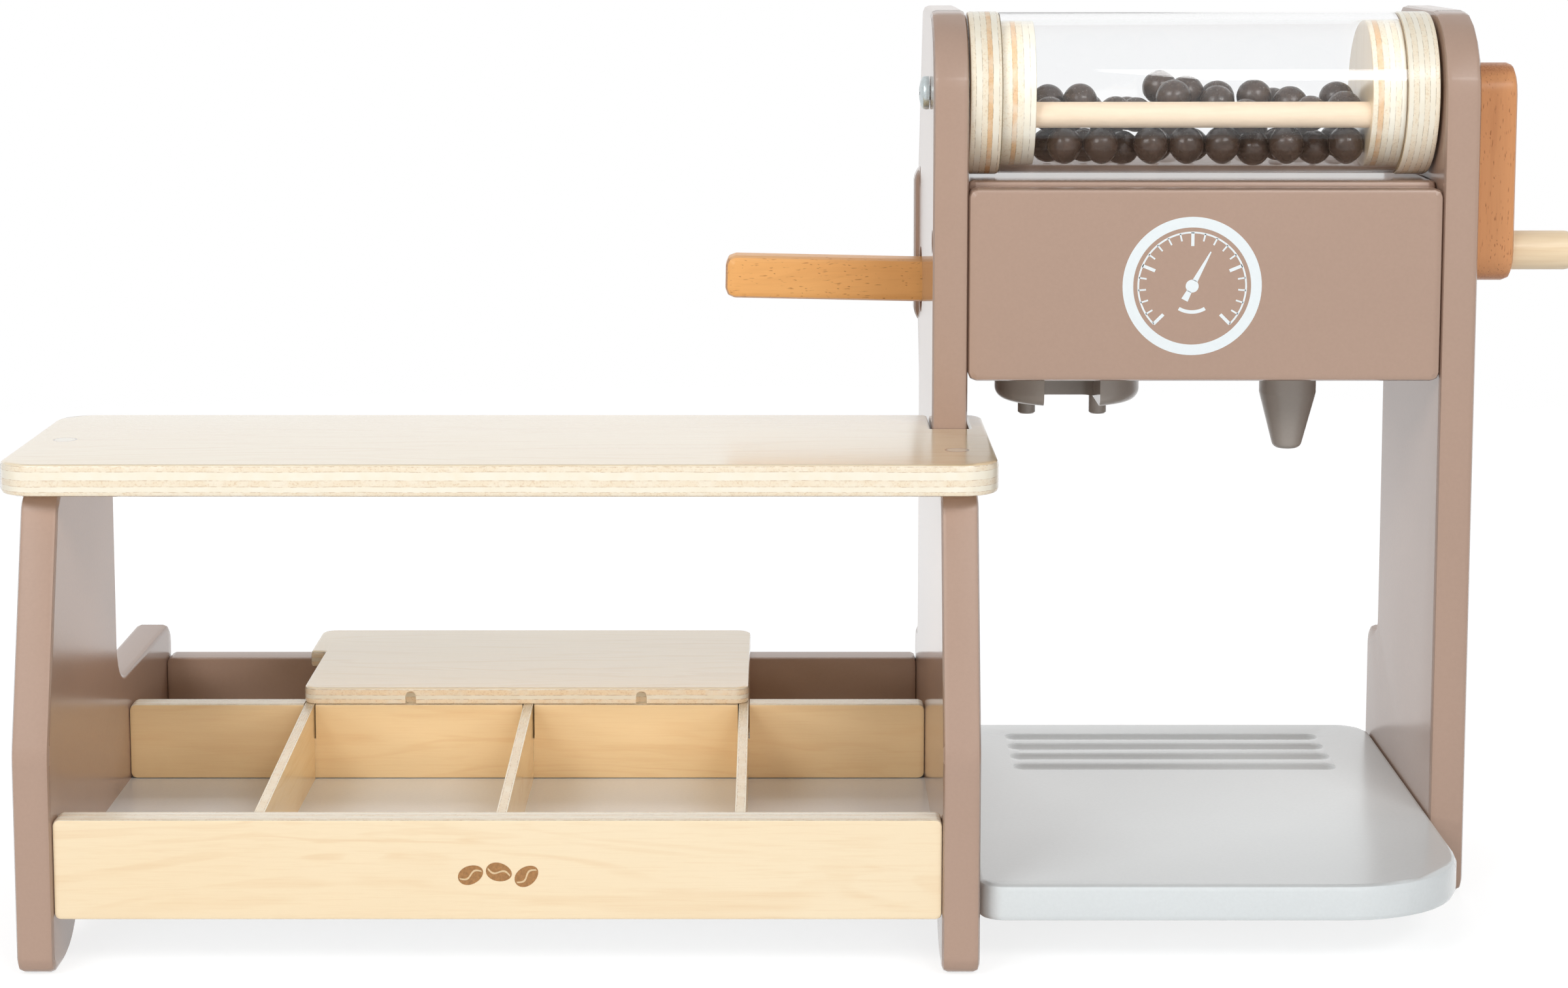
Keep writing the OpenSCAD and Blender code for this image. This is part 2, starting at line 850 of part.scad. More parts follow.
module right_panel_screws() {
    color(black_steel) placed() screws(right_out, -1, concat(body_screws, base_screws));
}

left_side_panel();
middle_side_panel();
right_side_panel();
countertop();
countertop_dowels();
tray_front_strip();
tray_floor();
tray_long_divider();
cross_divider_left();
cross_divider_middle();
cross_divider_right();
back_rail();
storage_lid();
base_plate();
body_front_plate();
body_top_board();
body_bottom_board();
body_rear_plate();
brew_head();
spout_dowels();
milk_nozzle();
drum_left_disc();
drum_left_plug();
drum_right_disc();
drum_right_plug();
drum_tube();
drum_tie_rod();
beans();
axle_screw();
axle_washer();
crank_axle();
crank_arm();
crank_knob();
lever();
lever_pivot();
left_panel_screws();
middle_panel_screws();
right_panel_screws();
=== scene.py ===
"""Looks of the toy coffee bar: paints, plywood and solid woods, clear tube, heap of beans,
printed gauge, burnt bean mark, floor, light and camera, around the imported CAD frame."""

import math

import bmesh
import bpy
import numpy as np
from mathutils import Matrix, Vector


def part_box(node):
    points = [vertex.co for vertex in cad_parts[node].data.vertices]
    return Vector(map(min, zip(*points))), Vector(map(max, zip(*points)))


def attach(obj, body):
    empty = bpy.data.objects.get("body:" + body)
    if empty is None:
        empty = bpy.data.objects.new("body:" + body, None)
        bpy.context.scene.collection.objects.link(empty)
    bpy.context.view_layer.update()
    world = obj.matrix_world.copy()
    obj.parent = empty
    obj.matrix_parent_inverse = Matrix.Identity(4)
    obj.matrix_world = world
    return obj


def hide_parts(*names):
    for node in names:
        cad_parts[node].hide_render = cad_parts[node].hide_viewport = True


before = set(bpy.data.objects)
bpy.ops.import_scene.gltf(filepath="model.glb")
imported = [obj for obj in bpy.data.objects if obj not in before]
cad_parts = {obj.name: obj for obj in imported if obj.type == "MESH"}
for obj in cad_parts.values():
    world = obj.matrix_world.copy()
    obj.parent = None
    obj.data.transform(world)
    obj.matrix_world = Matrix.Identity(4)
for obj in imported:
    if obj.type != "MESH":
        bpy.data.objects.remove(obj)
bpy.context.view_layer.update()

MM = 0.001
X, Y, Z = 0, 1, 2


# ---------------------------------------------------------------- node helpers

# The span that most values of a noise texture fall in.
NOISE = (0.3, 0.7)
# Layer Weight values between which a satin surface turns glossier, and where it ends.
GRAZING = (0.55, 0.93)
GRAZING_ROUGHNESS = 0.12


def feed(tree, socket, value):
    """Links a socket to another one, or sets its value."""
    if isinstance(value, bpy.types.NodeSocket):
        tree.links.new(value, socket)
    else:
        socket.default_value = value


def add_node(tree, kind, feeds=None, **settings):
    """A node with its settings, and its inputs set or linked by name or index."""
    made = tree.nodes.new(kind)
    for key, value in settings.items():
        setattr(made, key, value)
    for key, value in (feeds or {}).items():
        feed(tree, made.inputs[key], value)
    return made


def maths(tree, operation, a, b=0.0):
    return add_node(tree, "ShaderNodeMath", {0: a, 1: b}, operation=operation).outputs[0]


def ramped(tree, value, low, high, to_low=0.0, to_high=1.0):
    """A value's place between low and high, spread from to_low to to_high."""
    feeds = {0: value, 1: low, 2: high, 3: to_low, 4: to_high}
    return add_node(tree, "ShaderNodeMapRange", feeds).outputs[0]


def shaded(colour, share):
    """A colour times one number, or times one number for each channel."""
    shares = share if isinstance(share, tuple) else (share,) * 3
    return tuple(c * k for c, k in zip(colour, shares))


class Look:
    """One procedural material: a Principled shader and the nodes that feed it."""

    def __init__(self, name, **uniform):
        self.material = bpy.data.materials.new(name)
        self.material.use_nodes = True
        self.tree = self.material.node_tree
        self.shader = self.tree.nodes["Principled BSDF"]
        for socket, value in uniform.items():
            self.shader.inputs[socket.replace("_", " ")].default_value = value
        coordinates = self.node("ShaderNodeTexCoord").outputs
        self.place = coordinates["Object"]
        self.normal = coordinates["Normal"]

    def node(self, kind, feeds=None, **settings):
        return add_node(self.tree, kind, feeds, **settings)

    def set(self, socket, value):
        """Sets or links an input of the shader itself."""
        feed(self.tree, self.shader.inputs[socket], value)

    def math(self, operation, a, b=0.0):
        return maths(self.tree, operation, a, b)

    def ramp(self, value, low, high, to_low=0.0, to_high=1.0):
        return ramped(self.tree, value, low, high, to_low, to_high)

    def vector(self, operation, a, b=(0, 0, 0)):
        made = self.node("ShaderNodeVectorMath", {0: a, 1: b}, operation=operation)
        return made.outputs["Value" if operation == "LENGTH" else 0]

    def axis(self, vector, axis):
        """One component of a vector."""
        return self.node("ShaderNodeSeparateXYZ", {0: vector}).outputs[axis]

    def faces(self, axis, low, high):
        """1 where the surface faces along an axis, either way, and 0 where it turns away."""
        return self.ramp(self.math("ABSOLUTE", self.axis(self.normal, axis)), low, high)

    def noise(self, where, scale, detail=2.0, roughness=0.5, distortion=0.0):
        return self.node(
            "ShaderNodeTexNoise",
            {
                "Vector": where,
                "Scale": scale,
                "Detail": detail,
                "Roughness": roughness,
                "Distortion": distortion,
            },
        ).outputs["Fac"]

    def stretched(self, scales, shift=(0, 0, 0)):
        """Object coordinates in metres, moved and then scaled along each axis."""
        moved = self.vector("ADD", self.place, shift)
        return self.vector("MULTIPLY", moved, scales)

    def mix(self, factor, a, b, blend="MIX"):
        """Colour mix; a colour is three numbers or a socket."""
        a, b = ((*v, 1.0) if isinstance(v, tuple) else v for v in (a, b))
        feeds = {"Factor": factor, 6: a, 7: b}
        return self.node("ShaderNodeMix", feeds, data_type="RGBA", blend_type=blend).outputs[2]

    def satin(self, frontal):
        """Roughness of a varnish or satin paint, which mirrors more at grazing angles."""
        facing = self.node("ShaderNodeLayerWeight", {"Blend": 0.5}).outputs["Facing"]
        return self.ramp(facing, *GRAZING, frontal, GRAZING_ROUGHNESS)

    def finish(self, colour=None, roughness=None, height=None, depth=0.0):
        """The material with its colour and roughness, and a relief of some depth in metres."""
        if colour is not None:
            self.set("Base Color", colour)
        if roughness is not None:
            self.set("Roughness", roughness)
        if height is not None:
            relief = {"Strength": 1.0, "Distance": depth, "Height": height}
            self.set("Normal", self.node("ShaderNodeBump", relief).outputs["Normal"])
        return self.material


# ---------------------------------------------------------------- smooth shading

SEAM_WIDTH = 0.002 * MM
SHARP_ANGLE = math.radians(40)
LARGE_FACES_ONLY = 100


def joined_faces():
    """Geometry nodes that join a node's faces along their seams and keep real creases sharp."""
    tree = bpy.data.node_groups.new("joined_faces", "GeometryNodeTree")
    for way in ("INPUT", "OUTPUT"):
        tree.interface.new_socket("Geometry", in_out=way, socket_type="NodeSocketGeometry")
    source = tree.nodes.new("NodeGroupInput")
    result = tree.nodes.new("NodeGroupOutput")
    angle = tree.nodes.new("GeometryNodeInputMeshEdgeAngle").outputs["Unsigned Angle"]
    join = add_node(
        tree,
        "GeometryNodeMergeByDistance",
        {"Geometry": source.outputs[0], "Distance": SEAM_WIDTH},
    )
    steep = add_node(
        tree,
        "FunctionNodeCompare",
        {0: angle, 1: SHARP_ANGLE},
        data_type="FLOAT",
        operation="GREATER_THAN",
    )
    shade = add_node(
        tree,
        "GeometryNodeSetShadeSmooth",
        {0: join.outputs["Geometry"], "Selection": steep.outputs[0], "Shade Smooth": False},
        domain="EDGE",
    )
    tree.links.new(shade.outputs[0], result.inputs[0])
    return tree


JOINED = joined_faces()


def apply(material, *nodes):
    """Gives CAD nodes one material, and shades their facets as smooth curves."""
    for name in nodes:
        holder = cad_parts[name]
        mesh = holder.data
        mesh.materials.clear()
        mesh.materials.append(material)
        mesh.shade_smooth()
        holder.modifiers.new("joined_faces", "NODES").node_group = JOINED
        weighted = holder.modifiers.new("flat_faces_first", "WEIGHTED_NORMAL")
        weighted.keep_sharp = True
        weighted.weight = LARGE_FACES_ONLY


# ---------------------------------------------------------------- paints

PAINT_ROUGHNESS = 0.34
PAINT_COAT_ROUGHNESS = 0.2
PEEL_DEPTH = 0.012 * MM


def painted_board(name, colour, coat=0.0):
    """Satin paint on smooth board: faint mottling and fine orange peel."""
    look = Look(name, Coat_Weight=coat, Coat_Roughness=PAINT_COAT_ROUGHNESS)
    cloud = look.ramp(look.noise(look.place, 22.0, 3.0), *NOISE, 0.99, 1.01)
    speck = look.ramp(look.noise(look.place, 900.0, 2.0, 0.6), *NOISE, 0.985, 1.015)
    tone = look.math("MULTIPLY", cloud, speck)
    grey = look.node("ShaderNodeCombineColor", {0: tone, 1: tone, 2: tone}).outputs[0]
    shade = look.mix(1.0, colour, grey, "MULTIPLY")
    sheen = look.noise(look.place, 30.0, 1.0)
    rough = look.ramp(sheen, *NOISE, PAINT_ROUGHNESS - 0.02, PAINT_ROUGHNESS + 0.02)
    peel = look.noise(look.place, 1500.0, 1.0)
    return look.finish(shade, look.satin(rough), peel, PEEL_DEPTH)


# ---------------------------------------------------------------- woods

RING_WAVES = 46.0
FIBRE_DEPTH = 0.03 * MM
PLY_DEPTH = 0.02 * MM
LACQUER_ROUGHNESS = 0.18
# Surface normals between which a side of a board or dowel turns into its end.
PLY_TURN = (0.55, 0.75)
END_TURN = (0.6, 0.85)
PORES = (0.4, 0.65)


def grain_scales(along, fine, coarse):
    """Texture scales per axis: coarse along the grain and fine across it."""
    return tuple(coarse if axis == along else fine for axis in range(3))


def wood_face(look, along, pale, warm, dark, contrast, seed):
    """Colour and fibres of a smooth-cut wood face whose fibres run along one axis."""
    shift = (seed, seed * 1.7, seed * 0.6)

    def grain(fine, coarse, *shape):
        return look.noise(look.stretched(grain_scales(along, fine, coarse), shift), 1.0, *shape)

    figure = grain(34.0, 5.0, 3.0, 0.55, 1.1)
    rings = look.math("SINE", look.math("MULTIPLY", figure, RING_WAVES))
    fibre = grain(1500.0, 55.0, 3.0, 0.65)
    streak = grain(260.0, 9.0)
    cloud = grain(14.0, 6.0)
    colour = look.mix(look.ramp(cloud, 0.3, 0.72), pale, warm)
    line = look.math("MULTIPLY", look.ramp(rings, 0.2, 1.0), look.ramp(streak, 0.35, 0.7))
    colour = look.mix(look.math("MULTIPLY", line, 0.30 * contrast), colour, dark)
    colour = look.mix(look.ramp(fibre, 0.5, 0.78, 0.0, 0.22 * contrast), colour, dark)
    return colour, fibre


# Colours of plywood layers, cut across the fibres (END) and along them (LONG).
END = (0.915, 0.790, 0.600)
LONG = (0.970, 0.905, 0.760)
# The drum's layers: partly their own paler cream plies, partly painted light, paler than END and
# LONG where the middle panel shades the drum.
DISC_END_PAINTED_LIGHT = (0.950, 0.850, 0.670)
DISC_LONG_PAINTED_LIGHT = (0.980, 0.930, 0.800)
# The lid's end-grain layers: partly its own more orange ply, partly painted light, lighter than
# END where the countertop shades the lid's edge.
LID_END_PAINTED_LIGHT = (0.985, 0.800, 0.560)
TAN = (0.840, 0.560, 0.310)
GLUE_SOFT = (0.54, 0.35, 0.20)
GLUE_DARK = (0.40, 0.30, 0.19)
# In mm: how far layers wave, and how far from a seam its glue line is full and then gone.
LAYER_WAVE = 0.12
GLUE_LINE = (0.04, 0.12)


def ply_edge(look, node, across, layers, glue, seed):
    """Colour of a plywood edge from layers [(millimetres, colour), ...] along the thickness,
    and its pores."""
    low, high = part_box(node)
    total = sum(thickness for thickness, _ in layers)
    shift = (seed, 2 * seed, 3 * seed)
    wave = look.noise(look.stretched((45.0,) * 3, shift), 1.0)
    depth = look.ramp(look.axis(look.place, across), low[across], high[across], 0.0, total)
    depth = look.math("ADD", depth, look.ramp(wave, *NOISE, -LAYER_WAVE, LAYER_WAVE))
    pores = look.noise(look.place, 1300.0, 3.0, 0.75)
    patch = look.noise(look.stretched((170.0,) * 3, shift), 1.0, 3.0)
    dashes = look.ramp(look.noise(look.place, 480.0, 2.0, 0.6), 0.42, 0.60, 0.1, 0.9)

    def surface(tone):
        if tone in (LONG, DISC_LONG_PAINTED_LIGHT):
            dark = shaded(tone, (0.97, 0.94, 0.88))
            return look.mix(look.ramp(patch, 0.35, 0.7, 0.0, 0.8), tone, dark)
        dark = shaded(tone, (0.80, 0.68, 0.55))
        flecks = look.mix(look.ramp(pores, 0.52, 0.68, 0.0, 0.75), tone, dark)
        return look.mix(look.ramp(patch, 0.45, 0.68, 0.0, 0.55), flecks, LONG)

    tones = {tone: surface(tone) for tone in dict.fromkeys(tone for _, tone in layers)}
    colour = tones[layers[0][1]]
    seam = 0.0
    for (thickness, _), (_, tone) in zip(layers, layers[1:]):
        seam += thickness
        colour = look.mix(look.math("GREATER_THAN", depth, seam), colour, tones[tone])
        gap = look.math("ABSOLUTE", look.math("SUBTRACT", depth, seam))
        line = look.math("MULTIPLY", look.ramp(gap, *GLUE_LINE, 1.0, 0.0), dashes)
        colour = look.mix(line, colour, glue)
    return colour, pores


BIRCH_FACE = ((0.960, 0.800, 0.560), (0.945, 0.755, 0.495), (0.800, 0.530, 0.280))


def plywood(node, across, along, layers, glue, tint, coat, seed):
    """Lacquered birch plywood: faces with grain, layered edges where the surface turns."""
    look = Look("birch_ply_" + node, Coat_Weight=coat, Coat_Roughness=LACQUER_ROUGHNESS)
    tones = (shaded(tone, tint) for tone in BIRCH_FACE)
    face, fibre = wood_face(look, along, *tones, 1.0, seed)
    edge, pores = ply_edge(look, node, across, layers, glue, seed)
    colour = look.mix(look.faces(across, *PLY_TURN), edge, face)
    height = look.math("ADD", look.ramp(fibre, 0.3, 0.75), look.math("MULTIPLY", pores, 0.7))
    rough = look.satin(look.ramp(fibre, *NOISE, 0.34, 0.46))
    return look.finish(colour, rough, height, PLY_DEPTH)


def dowel_wood(name, along, pale, warm, dark, seed=0.0, contrast=0.8, roughness=0.35):
    """Turned wood with fine straight fibres and a darker end grain."""
    look = Look(name)
    face, fibre = wood_face(look, along, pale, warm, dark, contrast, seed)
    pores = look.noise(look.place, 1400.0, 2.0, 0.7)
    end = look.mix(look.ramp(pores, *PORES), shaded(warm, 0.86), dark)
    colour = look.mix(look.faces(along, *END_TURN), face, end)
    rough = look.ramp(fibre, *NOISE, roughness - 0.05, roughness + 0.08)
    return look.finish(colour, rough, fibre, FIBRE_DEPTH)


PLUG_DIAMETER = 8 * MM
# How far inside a plug's edge the dark line round it starts, and where it is full.
PLUG_LINE = (0.8 * MM, 0.3 * MM)


def plug_ends(name, node, pale, rim):
    """Lacquered end grain of the two plugs in a countertop, with a dark line round each."""
    look = Look(name, Coat_Weight=1.0, Coat_Roughness=LACQUER_ROUGHNESS)
    low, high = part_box(node)
    radius = PLUG_DIAMETER / 2
    away = 1.0
    for x, y in [(low.x + radius, high.y - radius), (high.x - radius, low.y + radius)]:
        offset = look.vector("SUBTRACT", look.place, (x, y, 0))
        flat = look.vector("LENGTH", look.vector("MULTIPLY", offset, (1, 1, 0)))
        away = look.math("MINIMUM", away, flat)
    pores = look.noise(look.place, 1400.0, 2.0, 0.7)
    end = look.mix(look.ramp(pores, *PORES, 0.0, 0.5), pale, shaded(pale, 0.8))
    line = look.ramp(away, *(radius - inside for inside in PLUG_LINE))
    return look.finish(look.mix(line, end, rim), look.satin(0.4), pores, FIBRE_DEPTH)


def beech(name, along, pale, warm, seed):
    """Oiled beech with short dark flecks along the grain."""
    look = Look(name, Specular_IOR_Level=0.3)
    deep = shaded(warm, (0.66, 0.52, 0.45))
    face, fibre = wood_face(look, along, pale, warm, deep, 0.7, seed)
    lean = look.ramp(look.noise(look.place, 150.0, 1.0), *NOISE, -0.6, 0.6)
    cells = look.stretched(grain_scales(along, 1250.0, 200.0), (seed, seed, seed))
    cells = look.vector("ADD", cells, lean)
    centre = look.node("ShaderNodeTexVoronoi", {"Vector": cells, "Scale": 1.0}).outputs["Distance"]
    some = look.ramp(look.noise(look.place, 420.0, 1.0), 0.36, 0.56, 0.15, 1.0)
    fleck = look.math("MULTIPLY", look.ramp(centre, 0.14, 0.27, 1.0, 0.0), some)
    colour = look.mix(look.math("MULTIPLY", fleck, 0.7), face, shaded(warm, (0.46, 0.32, 0.26)))
    pores = look.noise(look.place, 1500.0, 2.0, 0.7)
    end = look.mix(look.ramp(pores, *PORES), shaded(warm, 0.9), deep)
    colour = look.mix(look.faces(along, *END_TURN), colour, end)
    rough = look.ramp(fibre, *NOISE, 0.30, 0.40)
    return look.finish(colour, rough, look.math("SUBTRACT", fibre, fleck), FIBRE_DEPTH)


# ---------------------------------------------------------------- tube, beans, metal and ink

TUBE_SHADOW = 0.06
BRUSH_DEPTH = 0.02 * MM


def clear_acrylic():
    """Clear tube with faint dust; its walls let the lamps' light through to the beans."""
    look = Look(
        "clear_acrylic",
        Transmission_Weight=1.0,
        IOR=1.45,
        Base_Color=(0.985, 0.99, 0.995, 1),
    )
    shadow = look.node("ShaderNodeLightPath").outputs["Is Shadow Ray"]
    look.set("Alpha", look.ramp(shadow, 0.0, 1.0, 1.0, TUBE_SHADOW))
    dust = look.noise(look.stretched((90.0, 700.0, 700.0)), 1.0, 3.0, 0.7)
    return look.finish(roughness=look.ramp(dust, 0.6, 0.8, 0.0, 0.05))


def bean_stain():
    """Dark stained beads with fine dust on their upper sides."""
    look = Look("bean_brown")
    cloud = look.ramp(look.noise(look.place, 160.0, 3.0), *NOISE)
    colour = look.mix(cloud, (0.045, 0.028, 0.019), (0.080, 0.050, 0.036))
    grains = look.node("ShaderNodeTexVoronoi", {"Vector": look.place, "Scale": 1500.0}).outputs
    radius = look.ramp(look.axis(grains["Color"], X), 0.40, 1.0, 0.0, 0.28)
    specks = look.math("LESS_THAN", grains["Distance"], radius)
    up = look.ramp(look.axis(look.normal, Z), 0.1, 0.8, 0.05, 0.8)
    colour = look.mix(look.math("MULTIPLY", specks, up), colour, (0.50, 0.47, 0.44))
    patch = look.noise(look.place, 310.0)
    return look.finish(colour, look.ramp(patch, 0.35, 0.65, 0.20, 0.32))


def metal(name, colour, roughness):
    look = Look(name, Metallic=1.0)
    brushed = look.noise(look.place, 1500.0, 3.0, 0.7)
    rough = look.ramp(brushed, *NOISE, roughness - 0.06, roughness + 0.08)
    tone = look.mix(look.ramp(brushed, *NOISE), colour, shaded(colour, 0.8))
    return look.finish(tone, rough, brushed, BRUSH_DEPTH)


def ink(name, colour, wear):
    """Printed or burnt mark."""
    look = Look(name, Roughness=0.5)
    speck = look.noise(look.place, 900.0, 4.0, 0.7)
    worn = look.ramp(speck, 0.35, 0.7, 0.0, wear)
    return look.finish(look.mix(worn, colour, shaded(colour, 0.55)))


# ---------------------------------------------------------------- new pieces


def mesh_piece(name, build, material, body):
    """An object from a bmesh that build() fills, riding on a CAD body."""
    mesh = bpy.data.meshes.new(name)
    shape = bmesh.new()
    build(shape)
    bmesh.ops.recalc_face_normals(shape, faces=shape.faces)
    shape.to_mesh(mesh)
    shape.free()
    mesh.materials.append(material)
    piece = bpy.data.objects.new(name, mesh)
    bpy.context.scene.collection.objects.link(piece)
    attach(piece, body)
    return piece


# ---------------------------------------------------------------- heap of beans

BEAN_RADIUS = 6.05 * MM
TUBE_WALL = 2.5 * MM
WALL_GAP = 0.1 * MM
HIDDEN_TOP = -6 * MM
# Steps of the grid of places that a hidden bead may take.
GRID_ALONG = 0.7 * MM
GRID_ACROSS = 0.6 * MM
# How much a place further along the tube counts as if it lay higher.
LEFT_FIRST = 0.01
# The heap's visible beads, in mm: along from the left plug, then y and z from the drum's axis.
FRONT_BEANS = [
    (10.7, -9.0, -16.8), (23.4, -9.0, -16.8), (40.4, -9.0, -16.8), (52.5, -9.0, -16.8),
    (64.7, -9.0, -16.8), (86.8, -9.0, -16.8), (107.2, -9.0, -16.8),
    (31.4, 0.0, -19.0), (76.2, -3.0, -18.8), (97.6, 0.0, -19.0),
]
TOP_BEANS = [
    (6.5, 9.0, -3.5), (17.0, 2.0, -2.9), (46.1, 16.5, 1.1), (54.3, 7.0, -0.3),
    (48.6, -4.0, -1.3), (64.1, 0.0, -3.5), (65.7, 12.4, -2.4), (77.5, 5.0, -1.6),
    (85.7, 16.0, -5.2), (89.8, 4.0, -4.0), (106.5, 8.0, -2.5),
    (28.7, -4.4, -6.9), (36.6, 4.8, -7.8), (95.2, -7.0, -6.7), (107.1, -4.9, -5.2),
]


def settle_beans():
    """Centres of the beads: the visible ones where they lie, and the rest packed beneath them."""
    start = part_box("drum_left_plug")[1].x
    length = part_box("drum_right_plug")[0].x - start
    tube_low, tube_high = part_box("drum_tube")
    axis = (tube_low + tube_high) / 2
    rod_low, rod_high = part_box("drum_tie_rod")
    rod = (rod_low + rod_high) / 2 - axis
    clear = BEAN_RADIUS + (rod_high.z - rod_low.z) / 2
    bore = (tube_high.z - tube_low.z) / 2 - TUBE_WALL - BEAN_RADIUS - WALL_GAP
    x, y, z = np.meshgrid(
        np.arange(BEAN_RADIUS, length - BEAN_RADIUS, GRID_ALONG),
        np.arange(-bore, bore, GRID_ACROSS),
        np.arange(-bore, HIDDEN_TOP, GRID_ACROSS),
    )
    spots = np.column_stack([x.ravel(), y.ravel(), z.ravel()])
    off_axis = np.hypot(spots[:, 1], spots[:, 2])
    off_rod = np.hypot(spots[:, 1] - rod.y, spots[:, 2] - rod.z)
    spots = spots[(off_axis <= bore) & (off_rod >= clear)]
    beans = [np.array(bean) * MM for bean in FRONT_BEANS + TOP_BEANS]
    for bean in beans:
        spots = spots[np.linalg.norm(spots - bean, axis=1) >= 2 * BEAN_RADIUS]
    while len(spots):
        beans.append(spots[np.argmin(spots[:, 2] + LEFT_FIRST * spots[:, 0])])
        spots = spots[np.linalg.norm(spots - beans[-1], axis=1) >= 2 * BEAN_RADIUS]
    return [bean + np.array([start, axis.y, axis.z]) for bean in beans]


def bean_heap(material):
    def build(shape):
        for spot in settle_beans():
            bmesh.ops.create_icosphere(
                shape, subdivisions=4, radius=BEAN_RADIUS, matrix=Matrix.Translation(Vector(spot))
            )

    heap = mesh_piece("bean_heap", build, material, "drum")
    heap.data.shade_smooth()
    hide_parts("beans")


# ---------------------------------------------------------------- prints

# How far a print stands out of its face, and how far it sinks in.
PRINT_RISE = 0.06 * MM
CREASE_RISE = PRINT_RISE * 1.6


def direction(angle):
    """Cosine and sine of an angle in degrees."""
    return math.cos(math.radians(angle)), math.sin(math.radians(angle))


def plate(shape, outline, y, rise):
    """Thin raised print over an outline [(x, z), ...] on a front face that lies at y."""
    front = [shape.verts.new((x, y - rise, z)) for x, z in outline[::-1]]
    back = [shape.verts.new((x, y + rise, z)) for x, z in outline[::-1]]
    shape.faces.new(front)
    shape.faces.new(back[::-1])
    for i in range(len(outline)):
        j = (i + 1) % len(outline)
        shape.faces.new((front[j], front[i], back[i], back[j]))


def arc(centre, radius, start, end, steps):
    """Points of an arc between two angles in degrees."""
    turns = [direction(start + (end - start) * i / steps) for i in range(steps + 1)]
    return [(centre[0] + radius * c, centre[1] + radius * s) for c, s in turns]


GAUGE_WIDTH = 47 * MM
GAUGE_X = 75.5 * MM
GAUGE_DROP = 0.2 * MM
RIM = 3.6 * MM
SCALE_LINE = (5.6 * MM, 5.0 * MM)
TICK_TOP = 5.3 * MM
TICKS, LONG_TICK_EVERY = 21, 5
SCALE_START, SCALE_END = -45, 225
NEEDLE_ANGLE = 62
HUB_RADIUS, HUB_POINTS = 2.2 * MM, 32
HUB_EDGE = 2.0 * MM


def gauge_print(material):
    """Plain pressure gauge printed on the front plate: rings, ticks, needle and hub."""
    low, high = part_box("body_front_plate")
    centre = (low.x + GAUGE_X, (low.z + high.z) / 2 - GAUGE_DROP)
    outer = GAUGE_WIDTH / 2

    def ring(shape, inside, outside, start, end, steps):
        """Flat ring sector as quads, so that the print has no long thin faces."""
        a = arc(centre, inside, start, end, steps)
        b = arc(centre, outside, start, end, steps)
        for i in range(steps):
            plate(shape, [a[i], a[i + 1], b[i + 1], b[i]], low.y, PRINT_RISE)

    def bar(shape, angle, start, end, half_start, half_end):
        """Straight bar along a radius, with its half widths at both ends."""
        c, s = direction(angle)
        corners = [(start, -half_start), (end, -half_end), (end, half_end), (start, half_start)]
        outline = [
            (centre[0] + c * along - s * side, centre[1] + s * along + c * side)
            for along, side in corners
        ]
        plate(shape, outline, low.y, PRINT_RISE)

    def build(shape):
        ring(shape, outer - RIM, outer, 0, 360, 96)
        ring(shape, *(outer - inside for inside in SCALE_LINE), SCALE_START, SCALE_END, 72)
        for i in range(TICKS):
            long = i % LONG_TICK_EVERY == 0
            length = (4.6 if long else 2.6) * MM
            half = (0.55 if long else 0.28) * MM
            angle = SCALE_START + (SCALE_END - SCALE_START) / (TICKS - 1) * i
            bar(shape, angle, outer - TICK_TOP - length, outer - TICK_TOP, half, half)
        bar(shape, NEEDLE_ANGLE, HUB_EDGE, 13.2 * MM, 0.9 * MM, 0.22 * MM)
        bar(shape, NEEDLE_ANGLE + 180, HUB_EDGE, 5.4 * MM, 0.9 * MM, 1.2 * MM)
        hub = arc(centre, HUB_RADIUS, 0, 360, HUB_POINTS)[:-1]
        plate(shape, hub, low.y, PRINT_RISE)
        ring(shape, 8.2 * MM, 9.4 * MM, 240, 300, 18)

    mesh_piece("gauge_print", build, material, "stand")


BEAN_MARKS = [(-8.6, 0.0, 24), (0.4, 0.9, -14), (9.2, -0.4, 38)]
BEAN_MARK_LENGTH, BEAN_MARK_WIDTH = 8.4, 6.0
BEAN_MARK_DROP = 1.5 * MM
BEAN_MARK_POINTS = 28
BLUNT_END = 0.08
CREASE_REACH, CREASE_SWAY, CREASE_HALF_WIDTH = 3.7, 0.75, 0.3
CREASE_STEPS = 14


